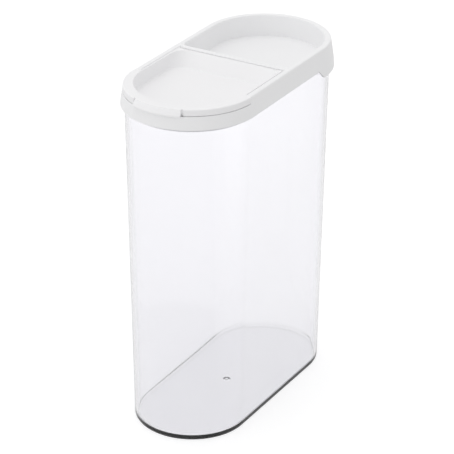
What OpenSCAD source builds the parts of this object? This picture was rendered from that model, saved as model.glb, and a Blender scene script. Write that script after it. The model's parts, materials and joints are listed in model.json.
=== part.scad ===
// Cereal keeper with a flip-up pouring cap: a clear jar with straight sides and round ends, a white lid
// that plugs into its mouth, and a cap over the front half of the lid that turns up on two pivot studs.
// Frame: millimetres, origin under the middle of the foot, Z up, long axis along Y, pouring end at -Y.

/* [Overall] */
// Overall length, from the thumb tab to the rear grip
length = 174.6; // [150:0.2:220]
// Overall width, across the rear grip
width = 86.6; // [74:0.2:106]
// Overall height, from the table to the top of the rim
height = 226; // [120:1:300]

/* [Jar] */
// How far each side leans in from the mouth to the foot
jar_draft = 3.75; // [1:0.05:6]
// Thickness of the clear side wall
jar_wall = 2.1; // [1.6:0.1:2.8]
// Thickness of the clear floor
jar_floor = 3; // [2:0.1:5]
// Radius of the rounded outer edge of the foot
foot_round = 2.5; // [1:0.1:4]
// Radius of the rounded inner corner at the floor
floor_round = 3.5; // [1:0.1:6]

/* [Lid frame] */
// Height of the rim above the mouth of the jar
rim_rise = 6.2; // [5.7:0.1:9]
// Width of the rim, from the edge of the well to the outside
rim_w = 3.85; // [3.2:0.05:4.6]
// Depth of the outer skirt
skirt_h = 12.7; // [10:0.1:16]
// How far the skirt flares out from the rim to its lower edge
skirt_flare = 1.95; // [1.6:0.05:2.6]
// Thickness of the skirt
skirt_t = 1.2; // [1:0.05:1.6]
// Clearance between the skirt and the mouth of the jar
skirt_gap = 0.25; // [0.2:0.05:0.6]
// How much deeper the skirt is at the rear grip
grip_drop = 5.5; // [3:0.1:9]
// How far the rear grip stands out past the skirt
grip_out = 0.4; // [0.2:0.05:1.5]
// Depth of the well in the rear half of the lid
well_depth = 13.6; // [11:0.1:16]
// Thickness of the panel under the rear well
panel_t = 1.6; // [1.2:0.1:2.4]
// Thickness of the plug wall at its foot
plug_t = 2.1; // [1.7:0.1:2.8]
// Clearance between the plug wall and the mouth of the jar
plug_gap = 0.55; // [0.4:0.05:1]
// Clearance between the lid and the top of the jar
seat_gap = 0.3; // [0.2:0.05:0.6]
// How far the rim is cut down to a ledge under the front of the cap
ledge_drop = 4.3; // [3.8:0.1:4.6]
// Thickness of the bar between the cap and the rear well
bar_t = 2; // [1.6:0.1:4]

/* [Flip cap] */
// Depth of the tray in the cap
tray_depth = 9; // [7:0.1:9.4]
// Thickness of the tray floor
cap_floor = 1.6; // [1.2:0.1:1.8]
// Thickness of the cap's side walls
cap_wall = 1; // [0.8:0.05:1.4]
// Clearance between the cap and the lid frame round it
cap_gap = 0.3; // [0.2:0.05:0.5]
// How much wider the cap's rim is at the middle of the front
front_extra = 1.7; // [0:0.1:4]
// Thickness of the cap's outer lip
lip_t = 1.1; // [0.9:0.05:1.4]
// Where the tray floor ends, in front of the middle of the lid
ramp_foot = 7.2; // [6:0.1:12]
// Slope of the ramp behind the tray, in degrees
ramp_angle = 38; // [32:0.5:46]
// Thickness of the ramp
ramp_t = 1.5; // [1.2:0.1:2]
// Width of the thumb tab
tab_w = 33; // [20:0.5:44]
// Width of the slit at each end of the thumb tab
slit_w = 2.4; // [1.2:0.1:4]
// Depth of the plug ring under the tray
ring_h = 3.8; // [3.4:0.1:6]
// Thickness of the plug ring
ring_t = 1.6; // [1.4:0.1:2.4]

/* [Hinge] */
// Distance of the hinge axis in front of the middle of the lid
hinge_front = 1.4; // [0.8:0.1:3]
// Depth of the hinge axis below the top of the rim
hinge_drop = 2.6; // [2.4:0.1:3.2]
// Radius of the cap's rounded tail about the hinge axis
tail_r = 4.2; // [3.8:0.1:5]
// Radius of the pivot studs
stud_r = 1.5; // [1.2:0.05:1.7]
// Radial clearance round a pivot stud
stud_play = 0.05; // [0.02:0.01:0.1]

/* [Seals] */
// Height of the seal round the lid's plug wall
seal_h = 2.8; // [2:0.1:3.6]
// Depth of its groove
seal_depth = 0.8; // [0.6:0.05:1.1]
// Height of the seal round the cap's plug ring
cap_seal_h = 1.8; // [1.4:0.1:2]
// Depth of its groove
cap_seal_depth = 0.7; // [0.5:0.05:0.9]
// Clearance between a seal's lip and the wall it seals on
seal_gap = 0.3; // [0.2:0.05:0.4]

/* [Hidden] */
$fn = 96;

// Overlap of solids that are one moulding, and the reach of cuts past a face
join = 0.4;
past = 1;

// Plan: a round end about each of two centres, half_l from the middle, joined by straight sides
half_l = (length - width) / 2;
grip_r = width / 2;
skirt_low_r = grip_r - grip_out;
rim_r = skirt_low_r - skirt_flare;
function skirt_r(z) = rim_r + skirt_flare * (height - z) / skirt_h;

// Heights
jar_h = height - rim_rise;
seat_z = jar_h + seat_gap;
skirt_z = height - skirt_h;
well_z = height - well_depth;
panel_z = well_z - panel_t;
ledge_z = height - ledge_drop;
roof_t = 1.6;
roof_z = height - roof_t;
tray_z = height - tray_depth;
cap_under_z = tray_z - cap_floor;
ring_z = cap_under_z - ring_h;
ring_cover = 0.8;
plug_z = min(panel_z, ring_z - ring_cover);

// Jar
mouth_r = skirt_r(jar_h) - skirt_t - skirt_gap;
foot_r = mouth_r - jar_draft;
mouth_round = 0.6;
function jar_r(z) = foot_r + jar_draft * z / jar_h;

// Plug wall of the lid: its outside, the foot of its inside and its inside at the rim
plug_r = mouth_r - jar_wall - plug_gap;
well_floor_r = plug_r - plug_t;
well_top_r = rim_r - rim_w;
function well_r(z) = well_floor_r + (well_top_r - well_floor_r) * max(0, z - well_z) / well_depth;
rim_out_round = 1;
rim_in_round = 0.8;
ledge_round = 0.4;
groove_z = plug_z + seal_h;
groove_r = plug_r - seal_depth;
seal_seat = 0.1;

// Rear grip: the deeper skirt starts with a 45 degree step on the straight sides
grip_lead = 7.2;
grip_t = 1.1;
grip_edge = 0.3;

// Bar between cap and well, whose front top edge carries on the slope of the ramp; bulkhead at the
// back of the pouring mouth; ribs over the jar's rim
hinge_y = -hinge_front;
hinge_z = height - hinge_drop;
bar_y = hinge_y + tail_r + cap_gap;
bar_back_y = bar_y + bar_t;
bar_round = 0.5;
bar_edge = 0.2;
bar_front_top_y = max(bar_y + bar_edge, tray_depth / tan(ramp_angle) - ramp_foot);
bulkhead_t = 1.4;
bulkhead_y = -(ramp_foot - join);
bulkhead_top_z = height - tray_depth - cap_floor - 2 * cap_gap;
rib_t = 1.2;
side_rib_y = 0.55 * half_l;
end_rib_angles = [30, 90, 150];
boss_half = 3;
channel_out_r = rim_r - 0.05;

// Cap
function cap_r(z) = well_r(z) - cap_gap;
function tray_r(z) = cap_r(z) - cap_wall;
function ramp_z(y) = tray_z + (y + ramp_foot) * tan(ramp_angle);
lip_r = rim_r + 0.3;
lip_z = ledge_z + cap_gap;
lip_round = 1;
ring_r = well_floor_r - 2 * cap_gap;
ring_back_y = bulkhead_y - 0.7;
ring_corner = 4;
cap_groove_z = ring_z + 0.8;
tab_half_angle = asin(tab_w / 2 / grip_r);
slit_angle = slit_w / lip_r * 180 / PI;
slit_start_angle = tab_half_angle + 0.3;

// The cap's cheeks beside the hinge are drawn in, so that they clear the leaning well walls as they turn
cheek_r = cap_r(hinge_z - tail_r);

// Studs run in blind bores in the side rims
stud_end = 2.9;
stud_x = cap_r(hinge_z) + stud_end;
bore_r = stud_r + stud_play;
bore_x = stud_x + cap_gap;

// Points of an arc about (x, z), from one angle to another
function arc(x, z, r, from, to, steps = 4) =
    [for (i = [0 : steps]) let (a = from + (to - from) * i / steps) [x + r * cos(a), z + r * sin(a)]];

// A profile with its points moved outwards
function moved(profile, out) = [for (p = profile) [p[0] + out, p[1]]];

// Half ring round the rear or front end, from a profile of (radius, height)
module round_end(profile, rear) {
    translate([0, rear ? half_l : -half_l, 0])
        rotate([0, 0, rear ? 0 : 180])
            rotate_extrude(angle = 180)
                polygon(profile);
}

// Straight run along one side, from a profile of (distance from the middle plane, height)
module side_run(profile, y1, y2) {
    translate([0, y2, 0])
        rotate([90, 0, 0])
            linear_extrude(height = y2 - y1)
                polygon(profile);
}

// The same run along both sides
module side_runs(profile, y1, y2) {
    side_run(profile, y1, y2);
    mirror([1, 0, 0])
        side_run(profile, y1, y2);
}

// Solid across the lid, from an outline of (y, height), as far to each side of the middle plane
module across(outline, half_w) {
    translate([-half_w, 0, 0])
        rotate([90, 0, 90])
            linear_extrude(height = 2 * half_w)
                polygon(outline);
}

// The same profile all the way round the plan
module oval(profile) {
    round_end(profile, true);
    round_end(profile, false);
    side_runs(profile, -half_l, half_l);
}

// Closed ring inside the front half of the lid, from a profile of (outward offset, height): a round
// front of radius r, straight sides, and a run across at back_y with rounded corners
module front_ring(profile, r, back_y, corner) {
    round_end(moved(profile, r), false);
    side_runs(moved(profile, r), -half_l, back_y - corner);
    across(moved(profile, back_y), r - corner);
    for (side = [0, 1])
        translate([side == 0 ? r - corner : corner - r, back_y - corner, 0])
            rotate([0, 0, 90 * side])
                rotate_extrude(angle = 90)
                    polygon(moved(profile, corner));
}

// Cylinder along X between two distances from the middle plane, on both sides
module studs(r, x1, x2) {
    for (side = [-1, 1])
        translate([side > 0 ? x1 : -x2, hinge_y, hinge_z])
            rotate([0, 90, 0])
                cylinder(r = r, h = x2 - x1);
}

// Clear jar: leaning wall, flat floor, rounded foot, rounded mouth
module jar() {
    inner_z = jar_floor + floor_round;
    profile = concat(
        [[0, 0]],
        arc(jar_r(foot_round) - foot_round, foot_round, foot_round, 270, 360),
        arc(mouth_r - mouth_round, jar_h - mouth_round, mouth_round, 0, 90),
        arc(mouth_r - jar_wall + mouth_round, jar_h - mouth_round, mouth_round, 90, 180),
        arc(jar_r(inner_z) - jar_wall - floor_round, inner_z, floor_round, 360, 270),
        [[0, jar_floor]]
    );
    color([0.86, 0.89, 0.9, 0.45])
        oval(profile);
}

// Plug wall of the lid with its seal groove, from its inner foot up its outside
plug_outside = [
    [well_floor_r, plug_z],
    [plug_r, plug_z],
    [plug_r, groove_z],
    [groove_r, groove_z],
    [groove_r, groove_z + seal_h],
    [plug_r, groove_z + seal_h]
];

// Full section of the lid frame: plug wall, roof over the jar's rim, flared skirt and rounded rim
rim_section = concat(
    plug_outside,
    [[plug_r, roof_z], [skirt_r(roof_z) - skirt_t, roof_z]],
    [[skirt_low_r - skirt_t, skirt_z], [skirt_low_r, skirt_z]],
    arc(skirt_r(height - rim_out_round) - rim_out_round, height - rim_out_round, rim_out_round, 0, 90),
    arc(well_r(height - rim_in_round) + rim_in_round, height - rim_in_round, rim_in_round, 90, 180),
    [[well_floor_r, well_z]]
);

// Section at the round front, cut down to the ledge that the cap's lip closes on
ledge_section = concat(
    plug_outside,
    [[plug_r, seat_z], [skirt_r(seat_z) - skirt_t, seat_z]],
    [[skirt_low_r - skirt_t, skirt_z], [skirt_low_r, skirt_z]],
    [[skirt_r(ledge_z - ledge_round), ledge_z - ledge_round], [skirt_r(ledge_z) - ledge_round, ledge_z]],
    [[well_r(ledge_z) + ledge_round, ledge_z], [well_r(ledge_z - ledge_round), ledge_z - ledge_round]],
    [[well_floor_r, well_z]]
);

// Deeper skirt round the rear end, with its stepped ends on the straight sides
module rear_grip() {
    low_z = skirt_z - grip_drop;
    section = [
        [skirt_low_r - skirt_t, skirt_z],
        [grip_r - grip_edge - grip_t, low_z],
        [grip_r - grip_edge, low_z],
        [grip_r, low_z + grip_edge],
        [skirt_low_r, skirt_z]
    ];
    start_y = half_l - grip_lead;
    round_end(section, true);
    intersection() {
        side_runs(section, start_y, half_l);
        across([
            [start_y, skirt_z + past],
            [start_y, skirt_z],
            [start_y + grip_drop + past, low_z - past],
            [half_l + past, low_z - past],
            [half_l + past, skirt_z + past]
        ], grip_r + past);
    }
}

// Rib across the channel over the jar's rim, at a distance out along X
module rib(t) {
    translate([plug_r - join / 2, -t / 2, seat_z])
        cube([channel_out_r - plug_r + join / 2, t, roof_z + join / 2 - seat_z]);
}

module side_ribs(y, t) {
    for (turn = [0, 180])
        translate([0, y, 0])
            rotate([0, 0, turn])
                rib(t);
}

// Plate across the well, from wall to wall
module cross_plate(y1, y2, z1, z2) {
    half1 = well_r(z1) + join;
    half2 = well_r(z2) + join;
    translate([0, y2, 0])
        rotate([90, 0, 0])
            linear_extrude(height = y2 - y1)
                polygon([[-half1, z1], [half1, z1], [half2, z2], [-half2, z2]]);
}

// Lid frame: plug wall, rim and skirt, rear well, bar, bulkhead and hinge bosses
module lid_frame() {
    panel_half = well_floor_r + 2 * join;
    color("white")
        difference() {
            union() {
                round_end(rim_section, true);
                side_runs(rim_section, -half_l, half_l);
                round_end(ledge_section, false);
                rear_grip();
                round_end([[0, panel_z], [panel_half, panel_z], [panel_half, well_z], [0, well_z]], true);
                across([
                    [bulkhead_y, panel_z],
                    [half_l, panel_z],
                    [half_l, well_z],
                    [bulkhead_y + bulkhead_t, well_z],
                    [bulkhead_y + bulkhead_t, bulkhead_top_z],
                    [bulkhead_y, bulkhead_top_z]
                ], panel_half);
                cross_plate(bar_y, bar_back_y, well_z - join, roof_z + join);
                across(concat(
                    [[bar_y, roof_z], [bar_back_y, roof_z]],
                    arc(bar_back_y - bar_round, height - bar_round, bar_round, 0, 90),
                    [[bar_front_top_y, height], [bar_y, min(height - bar_edge, ramp_z(bar_y))]]
                ), plug_r + join);
                side_ribs(side_rib_y, rib_t);
                side_ribs(-side_rib_y, rib_t);
                side_ribs(rib_t / 2 - half_l, rib_t);
                side_ribs(hinge_y, 2 * boss_half);
                for (a = end_rib_angles)
                    translate([0, half_l, 0])
                        rotate([0, 0, a])
                            rib(rib_t);
            }
            studs(bore_r, well_r(hinge_z) - past, bore_x);
        }
}

// Outside of the cap: straight part between the side rims, and the round front with its lip
module cap_outside() {
    side_top_z = height - cap_gap;
    side_runs(concat(
        [[0, cap_under_z], [cap_r(cap_under_z), cap_under_z]],
        [[cap_r(side_top_z), side_top_z], [0, side_top_z]]
    ), -half_l, hinge_y + tail_r);
    difference() {
        round_end(concat(
            [[0, cap_under_z], [cap_r(cap_under_z), cap_under_z], [cap_r(roof_z), roof_z]],
            [[lip_r - lip_t, roof_z], [lip_r - lip_t, lip_z], [lip_r, lip_z]],
            arc(lip_r - lip_round, height - lip_round, lip_round, 0, 90),
            [[0, height]]
        ), false);
        side_runs([
            [cap_r(lip_z - past), lip_z - past],
            [lip_r + past, lip_z - past],
            [lip_r + past, height + past],
            [cap_r(height + past), height + past]
        ], -half_l - cap_gap, -half_l + past);
    }
}

// What is taken out of the top of the cap: the tray, bounded by the ramp behind
module tray_space() {
    space = [[0, tray_z], [tray_r(tray_z), tray_z], [tray_r(height + past), height + past], [0, height + past]];
    back_y = hinge_y + tail_r + past;
    difference() {
        union() {
            translate([0, front_extra, 0])
                round_end(space, false);
            side_runs(space, front_extra - half_l, back_y);
        }
        across([
            [-ramp_foot, tray_z - past],
            [back_y + past, tray_z - past],
            [back_y + past, ramp_z(back_y + past)],
            [-ramp_foot, tray_z]
        ], grip_r);
    }
}

// What is taken out from below, so that the ramp is a plate
module ramp_space() {
    drop = ramp_t / cos(ramp_angle);
    low_z = cap_under_z - past;
    back_y = hinge_y + tail_r + past;
    across([
        [(low_z + drop - tray_z) / tan(ramp_angle) - ramp_foot, low_z],
        [back_y, low_z],
        [back_y, ramp_z(back_y) - drop]
    ], tray_r(tray_z));
}

// What is taken off behind the hinge axis, outside the rounded tail
module tail_space() {
    difference() {
        translate([-grip_r, hinge_y, cap_under_z - past])
            cube([2 * grip_r, tail_r + past, tray_depth + cap_floor + 2 * past]);
        translate([-grip_r - past, hinge_y, hinge_z])
            rotate([0, 90, 0])
                cylinder(r = tail_r, h = 2 * (grip_r + past));
    }
}

// What is taken off the cap's sides beside the hinge
module cheek_space() {
    side_runs([
        [cheek_r, cap_under_z - past],
        [plug_r, cap_under_z - past],
        [plug_r, height + past],
        [cheek_r, height + past]
    ], hinge_y - tail_r, hinge_y + tail_r + past);
}

// Thumb tab on the lip, and the slits at its ends
module thumb_tab() {
    low_z = lip_z - 0.5;
    translate([0, -half_l, 0])
        rotate([0, 0, 270 - tab_half_angle])
            rotate_extrude(angle = 2 * tab_half_angle)
                polygon([
                    [lip_r - 0.65, lip_z + 0.2],
                    [grip_r - 1.2, lip_z - 0.1],
                    [grip_r - 1, low_z],
                    [grip_r - 0.3, low_z],
                    [grip_r, low_z + 0.3],
                    [grip_r, low_z + 1],
                    [grip_r - 0.4, low_z + 1.7],
                    [grip_r - 1.4, height - 1.5],
                    [lip_r - 0.25, height - 0.7],
                    [lip_r - 0.65, height - 0.7]
                ]);
}

module tab_slits() {
    for (turn = [270 - slit_start_angle - slit_angle, 270 + slit_start_angle])
        translate([0, -half_l, 0])
            rotate([0, 0, turn])
                rotate_extrude(angle = slit_angle)
                    polygon([
                        [lip_r - lip_t - join, lip_z - past],
                        [lip_r + past, lip_z - past],
                        [lip_r + past, roof_z],
                        [lip_r - lip_t - join, roof_z]
                    ]);
}

// Plug ring under the tray, with a groove for its seal
module plug_ring() {
    front_ring([
        [-ring_t, ring_z],
        [0, ring_z],
        [0, cap_groove_z],
        [-cap_seal_depth, cap_groove_z],
        [-cap_seal_depth, cap_groove_z + cap_seal_h],
        [0, cap_groove_z + cap_seal_h],
        [0, cap_under_z + join / 4],
        [-ring_t, cap_under_z + join / 4]
    ], ring_r, ring_back_y, ring_corner);
}

// Flip cap: tray with a ramp behind, lip and thumb tab in front, plug ring below, studs at the sides
module flip_cap() {
    color("whitesmoke") {
        difference() {
            cap_outside();
            tray_space();
            ramp_space();
            tail_space();
            cheek_space();
            tab_slits();
        }
        thumb_tab();
        plug_ring();
        studs(stud_r, cheek_r - cap_wall / 4, stud_x);
    }
}

// Soft ring round the lid's plug wall, with two lips
module lid_seal() {
    inner = groove_r + seal_seat;
    z1 = groove_z;
    z2 = groove_z + seal_h;
    lip = jar_r(groove_z) - jar_wall - seal_gap;
    neck = lip - 0.3;
    color("gainsboro")
        oval([
            [inner, z1],
            [neck, z1],
            [lip, z1 + 0.2 * seal_h],
            [neck, z1 + 0.4 * seal_h],
            [neck, z1 + 0.6 * seal_h],
            [lip, z1 + 0.8 * seal_h],
            [neck, z2],
            [inner, z2]
        ]);
}

// Soft ring round the cap's plug ring, with one lip
module cap_seal() {
    inner = seal_seat - cap_seal_depth;
    z1 = cap_groove_z;
    z2 = cap_groove_z + cap_seal_h;
    lip = 2 * cap_gap - seal_gap;
    color("gainsboro")
        front_ring([
            [inner, z1],
            [0, z1],
            [lip, (z1 + z2) / 2],
            [0, z2],
            [inner, z2]
        ], ring_r, ring_back_y, ring_corner);
}

jar();
lid_frame();
flip_cap();
lid_seal();
cap_seal();
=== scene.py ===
"""Looks of the cereal container with a flip-up pouring cap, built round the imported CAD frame.

Sizes in the property groups are in metres. Inside the surface functions lengths are in millimetres,
and MM turns them into metres where a mesh is made.
"""

import json
from types import SimpleNamespace

import bpy
import numpy as np
from bpy.props import FloatProperty, FloatVectorProperty, PointerProperty
from mathutils import Matrix, Vector


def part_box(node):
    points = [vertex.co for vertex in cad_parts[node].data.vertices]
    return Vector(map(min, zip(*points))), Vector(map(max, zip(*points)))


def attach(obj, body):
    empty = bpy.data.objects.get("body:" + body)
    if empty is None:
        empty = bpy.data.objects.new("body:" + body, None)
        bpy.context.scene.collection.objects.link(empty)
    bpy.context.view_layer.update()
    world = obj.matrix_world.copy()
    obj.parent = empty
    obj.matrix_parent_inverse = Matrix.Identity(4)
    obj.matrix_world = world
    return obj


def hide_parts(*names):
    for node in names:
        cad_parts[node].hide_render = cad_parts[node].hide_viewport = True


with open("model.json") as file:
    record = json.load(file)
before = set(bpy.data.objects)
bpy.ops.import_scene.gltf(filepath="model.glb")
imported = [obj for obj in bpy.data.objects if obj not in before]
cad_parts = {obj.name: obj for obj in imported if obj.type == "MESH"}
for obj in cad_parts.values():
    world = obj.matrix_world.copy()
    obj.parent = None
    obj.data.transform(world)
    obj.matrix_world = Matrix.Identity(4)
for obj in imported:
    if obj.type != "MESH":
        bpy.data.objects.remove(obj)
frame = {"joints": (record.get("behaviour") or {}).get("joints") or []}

bl_info = {
    "name": "Cereal Container",
    "version": (1, 0, 0),
    "blender": (4, 5, 0),
    "location": "View3D > Sidebar > Container",
    "description": "Builds the clear jar, white lid, pouring cap and seals round the CAD frame",
    "category": "Object",
}

MM = 0.001

JAR_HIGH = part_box("jar")[1]
LID_LOW, LID_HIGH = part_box("lid_frame")
CAP_LOW, CAP_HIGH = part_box("flip_cap")
LID_SEAL_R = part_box("lid_seal")[1].x / MM
HINGE = next(j for j in frame["joints"] if j["name"] == "cap_hinge")["pos_m"]

# Edges between faces that meet at more than this many degrees stay sharp.
SHARP_ANGLE = 35

# Millimetres: thickness of the lid's and cap's flat sheets, and the gap in which the cap moves.
SHEET = 1.6
GAP = 0.3

# Degrees to each side of the front: where the thumb tab ends, and where its slit begins and ends.
TAB_ANGLE = 22.4
SLIT_FROM, SLIT_TO = 22.7, 24.6

# Outer radii, in millimetres, with which the sections of the lip and the thumb tab are drawn.
LIP_DRAWN, TAB_DRAWN = 41.25, 43.3

# Degrees about the hinge, up from its level, between which the cap's rear edge follows its tail.
TAIL_FROM, TAIL_TO = 16.5, -7.3

# The photo's view: degrees of azimuth, elevation and roll, and the aim and distance in metres.
PHOTO_ANGLES = (30.695, 26.227, 0.182)
PHOTO_AIM = (-0.0018, -0.006, 0.113)
PHOTO_DISTANCE = 1.4447
PHOTO_LENS, PHOTO_SHIFT = 182.26, (0.01236, 0.00324)

# Fixed directions in the room, towards the right-hand painted dark band and towards the depth behind the jar.
PAINTED_BAND_SIDE = (0.8599, 0.5105, 0)
PAINTED_BAND_DEPTH = (-0.5105, 0.8599, 0)


def length(name, default, description):
    """A length in metres that the sidebar shows."""
    return FloatProperty(
        name=name, description=description, default=default, subtype="DISTANCE", unit="LENGTH"
    )


def colour(name, default, description):
    """A linear colour that the sidebar shows."""
    return FloatVectorProperty(
        name=name, description=description, default=default, size=3, min=0, max=1, subtype="COLOR"
    )


class ContainerSizes(bpy.types.PropertyGroup):
    """Sizes of the container, in metres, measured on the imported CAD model."""

    half_core: length("Half core", JAR_HIGH.y - JAR_HIGH.x, "From the middle to each round end's centre")
    mouth_radius: length("Mouth radius", JAR_HIGH.x, "Outer radius of the jar at its mouth")
    jar_height: length("Jar height", JAR_HIGH.z, "Height of the jar's mouth")
    jar_draft: length("Jar draft", 3.75 * MM, "How far each side leans in from the mouth to the foot")
    jar_wall: length("Jar wall", 2.1 * MM, "Thickness of the clear side wall")
    jar_floor: length("Jar floor", 3 * MM, "Thickness of the clear floor")
    foot_round: length("Foot round", 2.5 * MM, "Radius of the rounded outer edge of the foot")
    floor_round: length("Floor round", 3.5 * MM, "Radius of the rounded inner corner at the floor")
    top: length("Top", LID_HIGH.z, "Height of the top of the rim")
    grip_radius: length("Grip radius", LID_HIGH.x, "Outer radius of the rear grip")
    grip_low: length("Grip foot", LID_LOW.z, "Height of the lower edge of the rear grip")
    grip_out: length("Grip stand-out", 0.4 * MM, "How far the grip stands out past the skirt")
    skirt_height: length("Skirt height", 12.7 * MM, "Depth of the outer skirt")
    skirt_flare: length("Skirt flare", 1.95 * MM, "How far the skirt flares out to its lower edge")
    skirt_wall: length("Skirt wall", 1.2 * MM, "Thickness of the skirt")
    rim_width: length("Rim width", 3.85 * MM, "Width of the rim round the well")
    well_depth: length("Well depth", 13.6 * MM, "Depth of the well in the rear half of the lid")
    ledge_drop: length("Ledge drop", 4.3 * MM, "How far the rim is cut down under the front of the cap")
    tray_depth: length("Tray depth", 9 * MM, "Depth of the tray in the cap")
    ramp_slope: FloatProperty(
        name="Ramp slope",
        description="Slope of the ramp behind the tray",
        default=np.radians(38),
        subtype="ANGLE",
        unit="ROTATION",
    )
    tail_radius: length("Tail radius", CAP_HIGH.y - HINGE[1], "Radius of the cap's tail about the hinge")


class ContainerColours(bpy.types.PropertyGroup):
    """Linear colours of the container's materials."""

    clear: colour("Clear plastic", (0.986, 0.984, 0.997), "Tint of the clear jar")
    lid: colour("Lid plastic", (0.93, 0.93, 0.938), "White of the lid frame")
    cap: colour("Cap plastic", (0.935, 0.932, 0.942), "White of the pouring cap")
    seal: colour("Seal", (0.74, 0.76, 0.76), "Soft translucent white of the seals")
    floor: colour("Floor", (0.78, 0.78, 0.78), "Pale floor of the stage")


def sizes():
    """The sizes in millimetres, with the radii and heights that follow from them."""
    group = bpy.context.scene.container_sizes
    lengths = [key for key in ContainerSizes.__annotations__ if key != "ramp_slope"]
    s = SimpleNamespace(**{key: getattr(group, key) / MM for key in lengths})
    s.slope = np.tan(group.ramp_slope)
    s.skirt_low_r = s.grip_radius - s.grip_out
    s.skirt_z = s.top - s.skirt_height
    s.rim_r = s.skirt_low_r - s.skirt_flare
    s.seat_z = s.jar_height + GAP
    s.roof_z = s.top - SHEET
    s.ledge_z = s.top - s.ledge_drop
    s.well_z = s.top - s.well_depth
    s.plug_z = s.well_z - SHEET
    s.plug_r = s.mouth_radius - s.jar_wall - 0.55
    s.well_floor_r = s.plug_r - 2.1
    s.well_top_r = s.rim_r - s.rim_width
    s.tray_z = s.top - s.tray_depth
    s.under_z = s.tray_z - SHEET
    s.ramp_foot = -7.2
    s.ramp_drop = 1.5 * np.hypot(1, s.slope)
    s.hinge_y = HINGE[1] / MM
    s.hinge_z = HINGE[2] / MM
    s.lip_r = s.rim_r + GAP
    well_lean = s.well_top_r - s.well_floor_r
    s.skirt_r = lambda z: s.rim_r + s.skirt_flare * (s.top - z) / s.skirt_height
    s.well_r = lambda z: s.well_floor_r + well_lean * np.maximum(0, z - s.well_z) / s.well_depth
    s.cap_r = lambda z: s.well_r(z) - GAP
    s.cheek_r = s.cap_r(s.hinge_z - s.tail_radius)
    s.tray_r = lambda z: s.cap_r(z) - 1.0
    s.ramp_y = lambda z: s.ramp_foot + (z - s.tray_z) / s.slope
    return s


# --- surfaces ---------------------------------------------------------------------------------------


def unit(v):
    """Vectors along the last axis scaled to length 1; a zero vector stays zero."""
    return v / np.maximum(np.linalg.norm(v, axis=-1, keepdims=True), 1e-12)


def rounded(corners, radii, steps):
    """Path along the second last axis of corners, with each corner replaced by an arc.

    At a corner where the path turns by an angle a, the arc of radius r starts r tan(a / 2) before the
    corner and ends as far after it. That length is held to half of each neighbouring edge, and the
    radius then follows from it. Point k of the arc is its centre plus r times (sin k, -cos k) in the
    plane of the two edges. A corner with 0 steps stays as it is."""
    p = np.asarray(corners, float)
    n = p.shape[-2]
    r = np.broadcast_to(np.asarray(radii, float), p.shape[:-1])
    out = []
    for i in range(n):
        b = p[..., i, :]
        if steps[i] == 0:
            out.append(b[..., None, :])
            continue
        a, c = p[..., i - 1, :], p[..., (i + 1) % n, :]
        u, v = unit(b - a), unit(c - b)
        along = (u * v).sum(-1, keepdims=True)
        side = v - along * u
        turn = np.arctan2(np.linalg.norm(side, axis=-1), along[..., 0])
        half = np.tan(turn / 2)
        reach = np.minimum(r[..., i] * half, 0.5 * np.linalg.norm(b - a, axis=-1))
        reach = np.minimum(reach, 0.5 * np.linalg.norm(c - b, axis=-1))
        radius = reach / np.maximum(half, 1e-9)
        w = unit(side)
        start = b - u * reach[..., None]
        k = turn[..., None] * np.linspace(0, 1, steps[i] + 1)
        rad = radius[..., None, None]
        centre = start[..., None, :] + w[..., None, :] * rad
        arc = centre + rad * (u[..., None, :] * np.sin(k)[..., None] - w[..., None, :] * np.cos(k)[..., None])
        out.append(arc)
    return np.concatenate(out, axis=-2)


def oval_columns(half, side_y, arc_steps):
    """Columns round the plan, as (outward x, outward y, y of the centre line), counterclockwise.

    Right side from front to rear at the given y, half circle about (0, half), left side back to the
    front, half circle about (0, -half)."""
    a = np.linspace(0, np.pi, arc_steps + 1)[1:-1]
    y = np.asarray(side_y, float)
    angle = np.concatenate([np.zeros(len(y)), a, np.full(len(y), np.pi), a + np.pi])
    core = np.concatenate([y, np.full(len(a), half), y[::-1], np.full(len(a), -half)])
    return np.round(np.cos(angle), 12), np.round(np.sin(angle), 12), core


def swept(profile, columns):
    """Points of a profile of (radius, height) carried round the columns: x is the radius times the
    outward x, y the centre line's y plus the radius times the outward y."""
    nx, ny, core = columns
    r, z = profile[..., 0], profile[..., 1]
    return np.stack([r * nx[:, None], core[:, None] + r * ny[:, None], z + 0 * nx[:, None]], axis=-1)


def front_columns(arc_angles, side_steps, corner_steps, rear_steps):
    """Columns round a plan with a round front and a straight rear edge, as (part, share).

    Part 0 is the front arc with its angle in degrees from the rear-pointing direction of +X, part 1
    the right side, 2 its rear corner, 3 the rear edge, 4 the left corner, 5 the left side."""
    t = np.linspace(0, 1, side_steps + 1)[1:-1]
    c = np.linspace(0, 1, corner_steps + 1)
    e = np.linspace(0, 1, rear_steps + 1)[1:-1]
    share = [np.asarray(arc_angles, float), t, c, e, c, t]
    part = np.concatenate([np.full(len(x), i) for i, x in enumerate(share)])
    return part, np.concatenate(share)


def front_outline(columns, r, centre_y, rear_y, corner):
    """Plan points of the columns for a front arc of radius r about (0, centre_y), sides at x = +-r and a
    rear edge at rear_y with corners of that radius. The values can differ from column to column."""
    part, share = columns
    r, centre_y, rear_y, corner = (
        np.broadcast_to(np.asarray(v, float), part.shape) for v in (r, centre_y, rear_y, corner)
    )
    turn = np.radians(np.where(part == 0, share, 0))
    quarter = 0.5 * np.pi * share
    run = rear_y - corner - centre_y
    x = np.select(
        [part == 0, part == 1, part == 2, part == 3, part == 4],
        [
            r * np.cos(turn),
            r,
            r - corner + corner * np.cos(quarter),
            (r - corner) * (1 - 2 * share),
            corner - r - corner * np.sin(quarter),
        ],
        -r,
    )
    y = np.select(
        [part == 0, part == 1, part == 2, part == 3, part == 4],
        [
            centre_y + r * np.sin(turn),
            centre_y + run * share,
            rear_y - corner + corner * np.sin(quarter),
            rear_y,
            rear_y - corner + corner * np.cos(quarter),
        ],
        centre_y + run * (1 - share),
    )
    return np.stack([x, y], axis=-1)


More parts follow.
